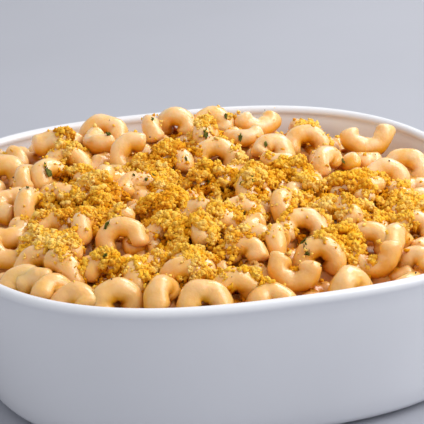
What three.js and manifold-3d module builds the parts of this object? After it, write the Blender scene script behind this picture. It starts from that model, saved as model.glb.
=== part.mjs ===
// Macaroni and cheese in its white baking dish, as two closed solids: the glazed dish and the
// pasta that fills it. Millimetres, +Z up, origin in the middle of the underside.

import * as THREE from 'three';
import { LoftGeometry } from 'three/addons/geometries/LoftGeometry.js';
import { mergeVertices } from 'three/addons/utils/BufferGeometryUtils.js';
import Module from 'manifold-3d';

const wasm = await Module();
wasm.setup();

// The dish: a rounded square seen from above, a superellipse |x/a|^n + |y/b|^n = 1.
const dish = {
	halfLength: 121, // middle of the lip, along X
	halfWidth: 110, // middle of the lip, along Y
	squareness: 2.7, // the power n: 2 is an oval, a larger power is squarer
	height: 70,
	lipRadius: 2.5,
	wall: 4.4,
	lean: 15, // how far the wall comes in from the lip down to the table
	leanPower: 1.2, // above 1 the wall bows out, steepest under the lip
	bottomRadius: 9,
	floorRadius: 14,
	floor: 6, // thickness of the bottom
	footWidth: 6,
	footHeight: 1.2,
	columns: 48 // facets round the dish
};

// The mound: how high the pasta's upper outline stands over the lip.
const mound = {
	peak: 12,
	peakX: - 30,
	peakY: 50,
	spreadX: 1300, // the mound falls by (distance squared) / spread
	spreadY: 3000,
	edge: - 4, // at the wall
	edgeTiltX: - 2,
	edgeTiltY: - 4.5, // the front edge stands higher than the back edge
	shoulder: 13 // distance over which the edge rises into the mound
};

const heap = {
	gap: 0.5, // clearance between the sauce and the dish
	noodleGap: 1.1, // clearance between a noodle's round section and the dish
	bedDepth: 17, // the lowest noodles lie this far under the outline
	sauceDepth: 7, // sauce and crumbs fill the heap up to this depth
	showing: 4, // a noodle is made where it stands this far out of them
	crumbRelief: 1.6, // bumps of the crumbs on it, up and down
	crumbSpan: 5.5, // a sixth or so of the distance between two bumps
	rings: [ 0.92, 0.8, 0.68, 0.55, 0.4, 0.22, 0 ], // of the top surface, as shares of the way out
	squash: 2.2, // how far two noodles sink into each other
	keptShare: 0.25, // a noodle laid on top is covered by no more than this
	inward: 0.8, // and moves this far in towards the middle, where the wall leaves it no room
	lowLimit: - 6, // tops of the first noodles, against the outline
	topLimit: - 1, // tops of the last ones
	lowLean: 30,
	topLean: 60,
	lowDrops: 1500,
	topDrops: 6000,
	beads: 9 // balls that stand for one noodle while it drops
};

// One noodle: a short thick tube bent into a C, smooth, its ends closed by sauce.
const noodle = {
	radius: 4.8,
	radiusSpread: 0.35,
	bendLow: 4.9, // radius of the middle line
	bendHigh: 6.6,
	arcLow: 140, // degrees of bend
	arcHigh: 215,
	twist: 5, // rise from end to end, across the bend
	sides: 6,
	stepTurn: 55 // degrees of bend to a step
};

// Noodles that lie on top, from the front edge to the back: x, y and how far the top rises over
// the mound's outline, then in degrees the turn about Z, the lean of the C's plane (0 lies flat,
// 90 stands), the roll of its opening and the bend, and last the radius of the bend.
const topNoodles = [
	[ - 103, - 61, 1, - 40, 60, 10, 150, 5.5 ],
	[ - 95, - 61, 1, - 18, 40, 5, 50, 9 ],
	[ - 89, - 48, 2, - 25, 65, 0, 190, 6 ],
	[ - 94, - 73, 1, 10, 50, 0, 130, 5.5 ],
	[ - 84, - 80, 1, - 18, 45, 0, 150, 5.5 ],
	[ - 82, - 60, 3, - 74, 80, - 25, 80, 8.5 ],
	[ - 66, - 64, 1, - 25, 60, - 10, 180, 6 ],
	[ - 57, - 75, 2, 68, 75, 0, 150, 6 ],
	[ - 67, - 84, 2, - 15, 75, 0, 185, 6.2 ],
	[ - 38, - 78, 2, - 14, 75, 0, 200, 6.5 ],
	[ - 51, - 88, 2, 65, 75, 0, 150, 5.5 ],
	[ - 36, - 98, 1, - 12, 60, 0, 180, 6.5 ],
	[ - 21, - 91, 2, - 14, 78, 0, 200, 6.5 ],
	[ - 9, - 103, - 2, - 10, 40, 0, 150, 5.5 ],
	[ - 9, - 65, 1, - 20, 50, 0, 160, 5.5 ],
	[ 6, - 62, 3, 72, 75, 0, 165, 6.5 ],
	[ 21, - 74, 3, - 24, 75, - 8, 200, 6.3 ],
	[ 5, - 84, 2, - 20, 62, 165, 190, 6.5 ],
	[ 25, - 95, 1, 40, 70, 0, 150, 5.3 ],
	[ 48, - 60, 2, - 20, 72, 0, 200, 6 ],
	[ 58, - 63, 2, 65, 75, 0, 160, 6 ],
	[ 44, - 76, 3, - 25, 70, 196, 165, 7.5 ],
	[ 59, - 80, 1, - 30, 50, 20, 160, 6 ],
	[ - 97, - 30, 2, - 20, 55, 185, 175, 8.5 ],
	[ - 82, 6, 2, 68, 78, 0, 165, 5.8 ],
	[ - 68, 7, 0, - 18, 45, 0, 170, 6 ],
	[ - 66, - 27, 2, 68, 80, 0, 160, 5.8 ],
	[ - 54, - 38, 2, - 15, 58, 20, 200, 7 ],
	[ - 76, - 16, - 1, - 18, 45, 0, 170, 6 ],
	[ - 35, - 39, - 1, - 18, 40, 20, 180, 6 ],
	[ - 21, - 46, 1, 50, 55, 0, 150, 5.5 ],
	[ - 16, - 30, 2, - 30, 60, 0, 190, 6.5 ],
	[ 2, - 29, 1, - 10, 50, 0, 150, 5.5 ],
	[ - 9, - 37, - 1, - 18, 45, 0, 160, 6 ],
	[ 21, - 27, 2, 60, 60, 0, 150, 6 ],
	[ 24, - 44, 1, - 18, 50, 0, 190, 7.5 ],
	[ 40, - 37, 2, - 20, 40, 5, 160, 7.5 ],
	[ 73, - 48, 1, - 18, 45, 0, 180, 6.5 ],
	[ 58, - 11, 0, - 18, 40, 0, 180, 6 ],
	[ - 83, 49, 2, - 30, 75, 0, 190, 7 ],
	[ - 77, 33, 1, 50, 60, 0, 150, 5.5 ],
	[ - 68, 33, 2, 60, 65, 0, 150, 5.5 ],
	[ - 56, 46, 1, - 20, 60, 10, 180, 7 ],
	[ - 58, 66, 3, - 17, 30, 0, 40, 14 ],
	[ - 29, 81, 3, - 10, 60, - 10, 170, 7 ],
	[ - 29, 45, 3, - 18, 66, 75, 170, 7.5 ],
	[ - 51, 9, 0, - 18, 45, 0, 170, 6 ],
	[ - 8, 75, 2, 60, 70, 0, 150, 5.3 ],
	[ 7, 86, 4, - 18, 80, 0, 190, 5.6 ],
	[ - 31, 12, - 2, - 18, 45, 0, 170, 6 ],
	[ - 10, 36, 0, - 18, 45, 0, 180, 6 ],
	[ 14, 62, 1, 60, 60, 0, 150, 5.3 ],
	[ 25, 85, 3, - 18, 60, 0, 170, 5.6 ],
	[ 11, 35, 2, - 30, 62, 5, 195, 7.5 ],
	[ 46, 79, 2, - 14, 50, 190, 120, 8 ],
	[ - 1, 8, 0, - 18, 50, 20, 180, 6 ],
	[ 13, - 6, 1, 70, 50, 0, 150, 5.5 ],
	[ 41, 42, 1, - 30, 50, 0, 160, 5.5 ],
	[ 61, 53, 2, - 22, 65, 0, 195, 7 ],
	[ 38, 12, - 2, - 18, 40, 0, 180, 6 ],
	[ 58, 22, 2, 55, 65, 0, 150, 5.5 ],
	[ 86, 13, 1, - 30, 60, - 10, 185, 6.5 ],
	[ 90, 48, 7, - 16, 64, 187, 150, 9 ],
	[ 103, 30, 2, - 28, 62, - 12, 190, 7 ]
];

const glazeColor = 0xe9eaed;
const pastaColor = 0xf0c78c;
const turnStep = Math.PI / 180;

// The same numbers on every run: a linear congruential generator, modulo 2^32.
let seed = 20;
function random() {

	seed = ( Math.imul( seed, 1664525 ) + 1013904223 ) >>> 0;
	return seed / 4294967296;

}

function between( low, high ) {

	return low + ( high - low ) * random();

}

// ---------------------------------------------------------------- the dish's outline

// Where the lip's middle line passes at a polar angle, and its outward normal there.
function lipPoint( angle ) {

	const n = dish.squareness;
	const c = Math.cos( angle );
	const s = Math.sin( angle );
	const reach = ( Math.abs( c / dish.halfLength ) ** n + Math.abs( s / dish.halfWidth ) ** n ) ** ( - 1 / n );
	const x = c * reach;
	const y = s * reach;
	const nx = Math.sign( x ) * Math.abs( x ) ** ( n - 1 ) / dish.halfLength ** n;
	const ny = Math.sign( y ) * Math.abs( y ) ** ( n - 1 ) / dish.halfWidth ** n;
	const length = Math.hypot( nx, ny );
	return { x, y, nx: nx / length, ny: ny / length };

}

// A level ring: the lip line moved in by `inset`, then drawn towards the middle by `shrink`.
function ring( inset, shrink, height ) {

	const points = [];
	for ( let i = 0; i < dish.columns; i ++ ) {

		const p = lipPoint( 2 * Math.PI * i / dish.columns );
		points.push( new THREE.Vector3(
			( p.x - p.nx * inset ) * shrink,
			( p.y - p.ny * inset ) * shrink,
			height
		) );

	}

	return points;

}

// How far the middle of the wall has come in from the lip line at a height, and the reverse.
function wallInset( height ) {

	return dish.lean * Math.max( 1 - height / dish.height, 0 ) ** dish.leanPower;

}

function wallHeight( inset ) {

	const share = Math.min( Math.max( inset / dish.lean, 0 ), 1 );
	return dish.height * ( 1 - share ** ( 1 / dish.leanPower ) );

}

// Distance of a spot in from the lip line: (1 - f) / |gradient of f|, where f is 1 on the line.
function distanceIn( x, y ) {

	const n = dish.squareness;
	const ax = Math.abs( x );
	const ay = Math.abs( y );
	const f = Math.max( ( ( ax / dish.halfLength ) ** n + ( ay / dish.halfWidth ) ** n ) ** ( 1 / n ), 0.05 );
	const gx = ax ** ( n - 1 ) / dish.halfLength ** n;
	const gy = ay ** ( n - 1 ) / dish.halfWidth ** n;
	return ( 1 - f ) / Math.max( Math.sqrt( gx * gx + gy * gy ) * f ** ( 1 - n ), 0.002 );

}

// ---------------------------------------------------------------- solids and meshes

function solidOf( geometry ) {

	const bare = new THREE.BufferGeometry();
	bare.setAttribute( 'position', geometry.getAttribute( 'position' ) );
	bare.setIndex( geometry.index );
	const merged = mergeVertices( bare );
	const corners = merged.index.array;
	const faces = [];
	for ( let i = 0; i < corners.length; i += 3 ) {

		const [ a, b, c ] = corners.subarray( i, i + 3 );
		if ( a !== b && b !== c && c !== a ) faces.push( a, b, c ); // a ring that ends in a point leaves flat faces

	}

	return new wasm.Manifold( new wasm.Mesh( {
		numProp: 3,
		vertProperties: merged.attributes.position.array,
		triVerts: new Uint32Array( faces )
	} ) );

}

function meshOf( solid, name, material ) {

	const result = solid.getMesh();
	const geometry = new THREE.BufferGeometry();
	geometry.setAttribute( 'position', new THREE.BufferAttribute( result.vertProperties, 3 ) );
	geometry.setIndex( new THREE.BufferAttribute( result.triVerts, 1 ) );
	geometry.computeVertexNormals();
	const mesh = new THREE.Mesh( geometry, material );
	mesh.name = name;
	return mesh;

}

// Steps along a quarter turn or more, from one angle to another, both ends included.
function arcSteps( from, to, steps ) {

	return Array.from( { length: steps + 1 }, ( _, i ) => from + ( to - from ) * i / steps );

}

// ---------------------------------------------------------------- the dish

function dishGeometry() {

	const half = dish.wall / 2;
	const sections = [];

	// underside: a shallow recess inside a flat foot
	const footOuter = wallInset( 0 ) - half + dish.bottomRadius;
	const footInner = footOuter + dish.footWidth;
	sections.push( ring( footInner, 0, dish.footHeight ) );
	sections.push( ring( footInner + dish.footHeight, 1, dish.footHeight ) );
	sections.push( ring( footInner, 1, 0 ) );

	// bottom edge, rounded from the foot up into the wall
	for ( const angle of arcSteps( 0, Math.PI / 2.4, 3 ) ) {

		const height = dish.bottomRadius * ( 1 - Math.cos( angle ) );
		const along = footOuter - dish.bottomRadius * Math.sin( angle );
		sections.push( ring( along - wallInset( 0 ) + wallInset( height ), 1, height ) );

	}

	// outside of the wall
	const neck = dish.height - 2.2 * dish.lipRadius;
	for ( const height of [ 0.35 * neck, 0.7 * neck, neck ] ) sections.push( ring( wallInset( height ) - half, 1, height ) );

	// the lip: a bead a little thicker than the wall
	const lipMiddle = dish.height - dish.lipRadius;
	for ( const angle of arcSteps( - Math.PI / 6, 7 * Math.PI / 6, 6 ) ) {

		sections.push( ring(
			- dish.lipRadius * Math.cos( angle ),
			1,
			lipMiddle + dish.lipRadius * Math.sin( angle )
		) );

	}

	// inside of the wall, its rounded foot and the floor
	for ( const height of [ neck, 0.6 * neck ] ) sections.push( ring( wallInset( height ) + half, 1, height ) );
	for ( const angle of arcSteps( 0.15 * Math.PI, Math.PI / 2, 3 ) ) {

		const height = dish.floor + dish.floorRadius * ( 1 - Math.sin( angle ) );
		const inset = wallInset( height ) + half + dish.floorRadius * ( 1 - Math.cos( angle ) );
		sections.push( ring( inset, 1, height ) );

	}

	sections.push( ring( 0, 0, dish.floor ) );
	return new LoftGeometry( sections );

}

// ---------------------------------------------------------------- the mound's outline

function moundHeight( x, y ) {

	const edge = mound.edge + mound.edgeTiltX * x / dish.halfLength + mound.edgeTiltY * y / dish.halfWidth;
	const dx = x - mound.peakX;
	const dy = y - mound.peakY;
	const dome = mound.peak - dx * dx / mound.spreadX - dy * dy / mound.spreadY;
	const inside = Math.max( distanceIn( x, y ) - dish.lipRadius, 0 );
	return dish.height + edge + ( dome - edge ) * ( 1 - Math.exp( - inside / mound.shoulder ) );

}

function crumbBump( x, y ) {

	const span = heap.crumbSpan;
	return heap.crumbRelief * Math.sin( x / span + Math.sin( y / span ) ) * Math.cos( y / span - 0.5 * Math.sin( x / span ) );

}

// The sauce that carries the noodles: it follows the inside of the dish, and on top the mound.
function sauceGeometry() {

	const wallSide = dish.wall / 2 + heap.gap;
	const bottom = dish.floor + heap.gap;
	const sections = [ ring( 0, 0, bottom ) ];
	for ( const angle of arcSteps( Math.PI / 2, 0.15 * Math.PI, 3 ) ) {

		const height = bottom + dish.floorRadius * ( 1 - Math.sin( angle ) );
		const inset = wallInset( height ) + wallSide + dish.floorRadius * ( 1 - Math.cos( angle ) );
		sections.push( ring( inset, 1, height ) );

	}

	const onTop = ( point ) => point.setZ( moundHeight( point.x, point.y ) - heap.sauceDepth + crumbBump( point.x, point.y ) );
	const edge = ring( wallInset( dish.height - heap.sauceDepth ) + wallSide, 1, 0 ).map( onTop );
	for ( const point of edge ) {

		const angle = Math.atan2( point.y, point.x );
		const p = lipPoint( angle );
		const inset = wallInset( point.z ) + wallSide;
		point.set( p.x - p.nx * inset, p.y - p.ny * inset, point.z );

	}

	sections.push( edge );
	for ( const shrink of heap.rings ) sections.push( ring( 2 * dish.wall, shrink, 0 ).map( onTop ) );
	return new LoftGeometry( sections );

}

// ---------------------------------------------------------------- the noodles

// Points along a noodle's middle line, about its own middle: an arc of a circle that also rises
// across its plane, then rolled, leaned and turned.
function middleLine( shape, count ) {

	const arc = shape.arc * turnStep;
	const middle = shape.bend * Math.sin( arc / 2 ) / ( arc / 2 );
	const stations = [];
	for ( let i = 0; i < count; i ++ ) {

		const share = i / ( count - 1 ) - 0.5;
		const angle = share * arc;
		stations.push( {
			point: place( shape, shape.bend * Math.sin( angle ), shape.bend * Math.cos( angle ) - middle, shape.twist * share ),
			across: place( shape, Math.sin( angle ), Math.cos( angle ), 0 ),
			along: place( shape, Math.cos( angle ), - Math.sin( angle ), 0 ),
			normal: place( shape, 0, 0, 1 )
		} );

	}

	return stations;

}

function place( shape, x, y, z ) {

	const roll = shape.roll * turnStep;
	const lean = shape.lean * turnStep;
	const turn = shape.turn * turnStep;
	const x1 = x * Math.cos( roll ) - y * Math.sin( roll );
	const y1 = x * Math.sin( roll ) + y * Math.cos( roll );
	const y2 = y1 * Math.cos( lean ) - z * Math.sin( lean );
	const z2 = y1 * Math.sin( lean ) + z * Math.cos( lean );
	return new THREE.Vector3(
		x1 * Math.cos( turn ) - y2 * Math.sin( turn ),
		x1 * Math.sin( turn ) + y2 * Math.cos( turn ),
		z2
	);

}

function noodleShape( turn, lean, roll, arc, bend ) {

	return {
		turn, lean, roll, arc, bend,
		radius: noodle.radius + between( - noodle.radiusSpread, noodle.radiusSpread ),
		twist: between( - noodle.twist, noodle.twist )
	};

}

function looseShape( steepest ) {

	const turn = between( 0, 360 );
	const lean = steepest * random();
	const roll = between( 0, 360 );
	const arc = between( noodle.arcLow, noodle.arcHigh );
	return noodleShape( turn, lean, roll, arc, between( noodle.bendLow, noodle.bendHigh ) );

}

// The height at which a noodle over (x, y) comes to rest on the bed, the wall and the beads of
// `others`, or null where it would cross the lip or lie over a noodle that is kept on top.
function restHeight( x, y, shape, beads, others ) {

	let rest = - Infinity;
	for ( const bead of beads ) {

		const bx = x + bead.point.x;
		const by = y + bead.point.y;
		const inside = distanceIn( bx, by ) - shape.radius - heap.noodleGap;
		if ( inside < dish.lipRadius ) return null;
		const wall = wallHeight( inside - dish.wall / 2 );
		const bed = moundHeight( bx, by ) - heap.bedDepth + shape.radius - heap.squash;
		rest = Math.max( rest, wall - bead.point.z, bed - bead.point.z );

	}

	for ( const other of others ) {

		const touch = shape.radius + other.radius - heap.squash;
		for ( const bead of beads ) {

			const dx = x + bead.point.x - other.x;
			const dy = y + bead.point.y - other.y;
			const room = touch * touch - dx * dx - dy * dy;
			if ( room <= 0 ) continue;
			if ( other.kept && room > heap.keptShare * touch * touch ) return null;
			rest = Math.max( rest, other.z + Math.sqrt( room ) - bead.point.z );

		}

	}

	return rest;

}

function topOf( beads, shape ) {

	return Math.max( ...beads.map( ( bead ) => bead.point.z ) ) + shape.radius;

}

function keep( filled, x, y, z, shape, beads, kept ) {

	filled.pile.push( { x, y, z, top: z + topOf( beads, shape ), shape } );
	for ( const bead of beads ) filled.beads.push( {
		x: x + bead.point.x,
		y: y + bead.point.y,
		z: z + bead.point.z,
		radius: shape.radius,
		kept
	} );

}

// Drops a noodle that finds its own height, and keeps it where its top stays under the mound's
// outline plus `limit`.
function drop( filled, x, y, shape, limit ) {

	const beads = middleLine( shape, heap.beads );
	const z = restHeight( x, y, shape, beads, filled.beads );
	if ( z !== null && z + topOf( beads, shape ) <= moundHeight( x, y ) + limit ) keep( filled, x, y, z, shape, beads, false );

}

// Lays a noodle with its top `rise` over the mound's outline, or higher where the wall lifts it.
function lay( filled, x, y, rise, shape ) {

	const beads = middleLine( shape, heap.beads );
	const rest = restHeight( x, y, shape, beads, [] );
	if ( rest === null ) return false;
	keep( filled, x, y, Math.max( rest, moundHeight( x, y ) + rise - topOf( beads, shape ) ), shape, beads, true );
	return true;

}

function dropLoose( filled, drops, limit, steepest ) {

	for ( let i = 0; i < drops; i ++ ) {

		const x = between( - dish.halfLength, dish.halfLength );
		const y = between( - dish.halfWidth, dish.halfWidth );
		drop( filled, x, y, looseShape( steepest ), limit );

	}

}

function fillHeap() {

	const filled = { pile: [], beads: [] };
	dropLoose( filled, heap.lowDrops, heap.lowLimit, heap.lowLean );
	for ( const [ x, y, rise, turn, lean, roll, arc, bend ] of topNoodles ) {

		const shape = noodleShape( turn, lean, roll, arc, bend );
		let inward = 1;
		while ( ! lay( filled, x * inward, y * inward, rise, shape ) && inward > heap.inward ) inward -= 0.01;

	}

	dropLoose( filled, heap.topDrops, heap.topLimit, heap.topLean );
	return filled.pile;

}

// The tube round a middle line. A ring with few corners gets the area of the round section.
function noodleGeometry( { x, y, z, shape } ) {

	const sides = noodle.sides;
	const radius = shape.radius * Math.sqrt( 2 * Math.PI / sides / Math.sin( 2 * Math.PI / sides ) );
	const centre = new THREE.Vector3( x, y, z );
	const steps = Math.ceil( shape.arc / noodle.stepTurn );
	const stations = middleLine( shape, steps + 1 );
	const sectionAt = ( station, share, reach ) => Array.from( { length: sides }, ( _, i ) => {

		const angle = 2 * Math.PI * i / sides;
		return station.point.clone().add( centre )
			.addScaledVector( station.across, radius * share * Math.cos( angle ) )
			.addScaledVector( station.normal, radius * share * Math.sin( angle ) )
			.addScaledVector( station.along, radius * reach );

	} );
	const sections = stations.map( ( station ) => sectionAt( station, 1, 0 ) );
	sections.unshift( sectionAt( stations[ 0 ], 0.6, - 0.6 ) );
	sections.push( sectionAt( stations[ steps ], 0.6, 0.6 ) );
	return new LoftGeometry( sections, { capStart: true, capEnd: true } );

}

// ---------------------------------------------------------------- the pasta

function pastaSolid() {

	const pile = fillHeap().filter( ( n ) => n.top > moundHeight( n.x, n.y ) - heap.sauceDepth + heap.showing );
	const pieces = [ solidOf( sauceGeometry() ), ...pile.map( ( n ) => solidOf( noodleGeometry( n ) ) ) ];
	const fused = wasm.Manifold.union( pieces );
	const bodies = fused.decompose().sort( ( a, b ) => b.volume() - a.volume() );
	return bodies[ 0 ];

}

const object = new THREE.Group();
object.add( meshOf(
	solidOf( dishGeometry() ),
	'dish',
	new THREE.MeshStandardMaterial( { color: glazeColor, roughness: 0.18, metalness: 0 } )
) );
object.add( meshOf(
	pastaSolid(),
	'pasta',
	new THREE.MeshStandardMaterial( { color: pastaColor, roughness: 0.4, metalness: 0 } )
) );

export default object;
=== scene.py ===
# Macaroni and cheese in a white baking dish: glaze, noodles, sauce, crumbs and herbs.
# Sizes are millimetres, but metres in what shaders, camera, floor and lights are given.
import math
import bmesh
import bpy
import numpy as np
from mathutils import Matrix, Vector


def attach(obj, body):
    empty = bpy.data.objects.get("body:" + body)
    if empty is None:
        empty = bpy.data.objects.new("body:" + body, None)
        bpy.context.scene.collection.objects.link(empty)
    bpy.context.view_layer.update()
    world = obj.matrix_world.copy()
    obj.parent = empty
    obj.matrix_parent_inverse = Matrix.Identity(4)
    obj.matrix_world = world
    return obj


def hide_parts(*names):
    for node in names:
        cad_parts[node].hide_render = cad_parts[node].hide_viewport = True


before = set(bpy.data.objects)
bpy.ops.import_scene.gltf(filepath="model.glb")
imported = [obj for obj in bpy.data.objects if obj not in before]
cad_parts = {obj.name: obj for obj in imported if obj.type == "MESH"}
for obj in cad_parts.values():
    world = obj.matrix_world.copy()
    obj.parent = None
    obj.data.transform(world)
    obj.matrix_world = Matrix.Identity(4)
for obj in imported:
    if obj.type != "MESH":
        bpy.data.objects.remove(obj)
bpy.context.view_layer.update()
scene = bpy.context.scene
mm = 0.001

# the dish, the mound and the rule by which noodles drop are the same here as in the solids
dish = dict(halfLength=121, halfWidth=110, squareness=2.7, height=70, lipRadius=2.5, wall=4.4,
            lean=15, leanPower=1.2, bottomRadius=9, floorRadius=14, floor=6, footWidth=6, footHeight=1.2,
            middle=0.05, flattest=0.002)

mound = dict(peak=12, peakX=-30, peakY=50, spreadX=1300, spreadY=3000,
             edge=-4, edgeTiltX=-2, edgeTiltY=-4.5, shoulder=13)

heap = dict(noodleGap=1.1, bedDepth=17, squash=2.2, lowLimit=-6, topLimit=-1, lowLean=30, topLean=60,
            lowDrops=1500, topDrops=6000, beads=9, seed=20, keptShare=0.25, inward=0.8, inwardStep=0.01)

noodle = dict(radius=4.8, radiusSpread=0.35, bendLow=4.9, bendHigh=6.6, arcLow=140, arcHigh=215, twist=5)

# The camera: focus, distance and clipping in metres, turns in degrees, lens and sensor in millimetres,
# and the side of its square view in pixels; then between which heights and in which steps, in
# millimetres, its lines of sight are followed down.
view = dict(focus=(0.0, 0.0, 0.069), azimuth=-17.57, elevation=21.9, distance=0.8696, lens=169.8, sensor=36,
            shiftX=-0.0104, shiftY=-0.0361, near=0.05, far=20, pixels=424,
            highest=95, lowest=45, fineStep=0.01, coarseStep=0.25)

# Noodles that lie on top: where the view shows them, in pixels across and down; how far the top rises
# over the mound; turn, lean, roll and length of the bend in degrees, and the radius of the bend.
topNoodles = [
    # the front rows
    (14, 287, 1, -40, 60, 10, 150, 5.5), (34, 279, 1, -18, 40, 5, 50, 9),
    (40, 262, 2, -25, 65, 0, 190, 6), (43, 295, 1, 10, 50, 0, 130, 5.5),
    (73, 298, 1, -18, 45, 0, 150, 5.5), (65, 267, 3, -74, 80, -25, 80, 8.5),
    (107, 270, 1, -25, 60, -10, 180, 6), (136, 276, 2, 68, 75, 0, 150, 6),
    (118, 294, 2, -15, 75, 0, 185, 6.2), (184, 275, 2, -14, 75, 0, 200, 6.5),
    (160, 290, 2, 65, 75, 0, 150, 5.5), (203, 303, 1, -12, 60, 0, 180, 6.5),
    (236, 287, 2, -14, 78, 0, 200, 6.5), (274, 306, -2, -10, 40, 0, 150, 5.5),
    (245, 250, 1, -20, 50, 0, 160, 5.5), (276, 241, 3, 72, 75, 0, 165, 6.5),
    (321, 254, 3, -24, 75, -8, 200, 6.3), (293, 277, 2, -20, 62, 165, 190, 6.5),
    (348, 281, 1, 40, 70, 0, 150, 5.3), (371, 238, 2, -20, 72, 0, 200, 6),
    (396, 239, 2, 65, 75, 0, 160, 6), (375, 261, 3, -25, 70, 196, 165, 7.5),
    (413, 260, 1, -30, 50, 20, 160, 6),
    # the middle
    (12, 254, 2, -20, 55, 185, 175, 8.5), (28, 203, 2, 68, 78, 0, 165, 5.8),
    (60, 198, 0, -18, 45, 0, 170, 6), (83, 226, 2, 68, 80, 0, 160, 5.8),
    (119, 235, 2, -15, 58, 20, 200, 7), (54, 226, -1, -18, 45, 0, 170, 6),
    (163, 233, -1, -18, 40, 20, 180, 6), (202, 231, 1, 50, 55, 0, 150, 5.5),
    (201, 214, 2, -30, 60, 0, 190, 6.5), (241, 209, 1, -10, 50, 0, 150, 5.5),
    (222, 224, -1, -18, 45, 0, 160, 6), (283, 203, 2, 60, 60, 0, 150, 6),
    (302, 224, 1, -18, 50, 0, 190, 7.5), (332, 212, 2, -20, 40, 5, 160, 7.5),
    (414, 226, 1, -18, 45, 0, 180, 6.5), (350, 192, 0, -18, 40, 0, 180, 6),
    # the back
    (4, 171, 2, -30, 75, 0, 190, 7), (25, 178, 1, 50, 60, 0, 150, 5.5),
    (46, 172, 2, 60, 65, 0, 150, 5.5), (66, 161, 1, -20, 60, 10, 180, 7),
    (50, 141, 3, -17, 30, 0, 40, 14), (105, 129, 3, -10, 60, -10, 170, 7),
    (124, 157, 3, -18, 66, 75, 170, 7.5), (96, 190, 0, -18, 45, 0, 170, 6),
    (151, 128, 2, 60, 70, 0, 150, 5.3), (175.5, 120.5, 4, -18, 80, 0, 190, 5.6),
    (140, 186, -2, -18, 45, 0, 170, 6), (172, 158, 0, -18, 45, 0, 180, 6),
    (205, 134, 1, 60, 60, 0, 150, 5.3), (213, 120, 3, -18, 60, 0, 170, 5.6),
    (216, 154, 2, -30, 62, 5, 195, 7.5), (258, 126, 2, -14, 50, 190, 120, 8),
    (208, 180, 0, -18, 50, 20, 180, 6), (249, 186, 1, 70, 50, 0, 150, 5.5),
    (273, 146, 1, -30, 50, 0, 160, 5.5), (306, 140, 2, -22, 65, 0, 195, 7),
    (290, 176, -2, -18, 40, 0, 180, 6), (325, 160, 2, 55, 65, 0, 150, 5.5),
    (388, 174, 1, -30, 60, -10, 185, 6.5), (368, 143, 7, -16, 64, 187, 150, 9),
    (409, 164, 2, -28, 62, -12, 190, 7),
]


# the lip's middle line at polar angles: r = (|cos/a|^n + |sin/b|^n)^(-1/n), with its outward normal
def lipLine(angles):
    n, a, b = dish["squareness"], dish["halfLength"], dish["halfWidth"]
    c, s = np.cos(angles), np.sin(angles)
    reach = (np.abs(c / a) ** n + np.abs(s / b) ** n) ** (-1 / n)
    x, y = c * reach, s * reach
    nx = np.sign(x) * np.abs(x) ** (n - 1) / a ** n
    ny = np.sign(y) * np.abs(y) ** (n - 1) / b ** n
    length = np.hypot(nx, ny)
    return x, y, nx / length, ny / length


# how far the middle of the wall has come in from the lip line: lean * (1 - z/height)^power
def wallInset(z):
    return dish["lean"] * np.maximum(1 - np.asarray(z, float) / dish["height"], 0) ** dish["leanPower"]


# the height at which it has come in so far: height * (1 - (inset/lean)^(1/power))
def wallHeight(inset):
    share = np.clip(np.asarray(inset, float) / dish["lean"], 0, 1)
    return dish["height"] * (1 - share ** (1 / dish["leanPower"]))


# Distance in from the lip line: (1 - f) / |gradient of f|, with f = 1 on the line. Both are kept
# above a least value, because they vanish at the centre.
def distanceIn(x, y):
    n, a, b = dish["squareness"], dish["halfLength"], dish["halfWidth"]
    ax, ay = np.abs(x), np.abs(y)
    f = np.maximum(((ax / a) ** n + (ay / b) ** n) ** (1 / n), dish["middle"])
    gx, gy = ax ** (n - 1) / a ** n, ay ** (n - 1) / b ** n
    return (1 - f) / np.maximum(np.sqrt(gx * gx + gy * gy) * f ** (1 - n), dish["flattest"])


# the heap's upper outline: a parabola that falls from the peak, drawn down to the edge at the wall
def moundHeight(x, y):
    edge = (mound["edge"] + mound["edgeTiltX"] * x / dish["halfLength"]
            + mound["edgeTiltY"] * y / dish["halfWidth"])
    dome = (mound["peak"] - (x - mound["peakX"]) ** 2 / mound["spreadX"]
            - (y - mound["peakY"]) ** 2 / mound["spreadY"])
    inside = np.maximum(distanceIn(x, y) - dish["lipRadius"], 0)
    return dish["height"] + edge + (dome - edge) * (1 - np.exp(-inside / mound["shoulder"]))


# the camera's directions: to its right, up in its view, and back from what it looks at
def cameraAxes():
    a, e = math.radians(view["azimuth"]), math.radians(view["elevation"])
    right = np.array([math.cos(a), math.sin(a), 0])
    back = np.array([math.sin(a) * math.cos(e), -math.cos(a) * math.cos(e), math.sin(e)])
    return right, np.cross(back, right), back


# Where the line of sight through a pixel first meets a surface: the points eye + ray * share are taken
# from above, and the first one that isn't over `height` counts, to the nearest millimetre.
def sightSpot(height, across, down, step):
    right, up, back = cameraAxes()
    eye = (np.array(view["focus"]) + back * view["distance"]) / mm
    ray = (right * (across / view["pixels"] - 0.5 + view["shiftX"])
           + up * (0.5 - down / view["pixels"] + view["shiftY"])
           - back * view["lens"] / view["sensor"])
    z = np.arange(view["highest"], view["lowest"], -step)
    share = (z - eye[2]) / ray[2]
    x, y = eye[0] + ray[0] * share, eye[1] + ray[1] * share
    met = np.argmax(height(x, y) >= z)
    return round(float(x[met])), round(float(y[met]))


# whole numbers modulo 2^32, so that the solids and this script draw alike
class Draws:
    def __init__(self, seed):
        self.state = seed

    def next(self):
        self.state = (self.state * 1664525 + 1013904223) & 0xFFFFFFFF
        return self.state / 4294967296

    def between(self, low, high):
        return low + (high - low) * self.next()


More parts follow.
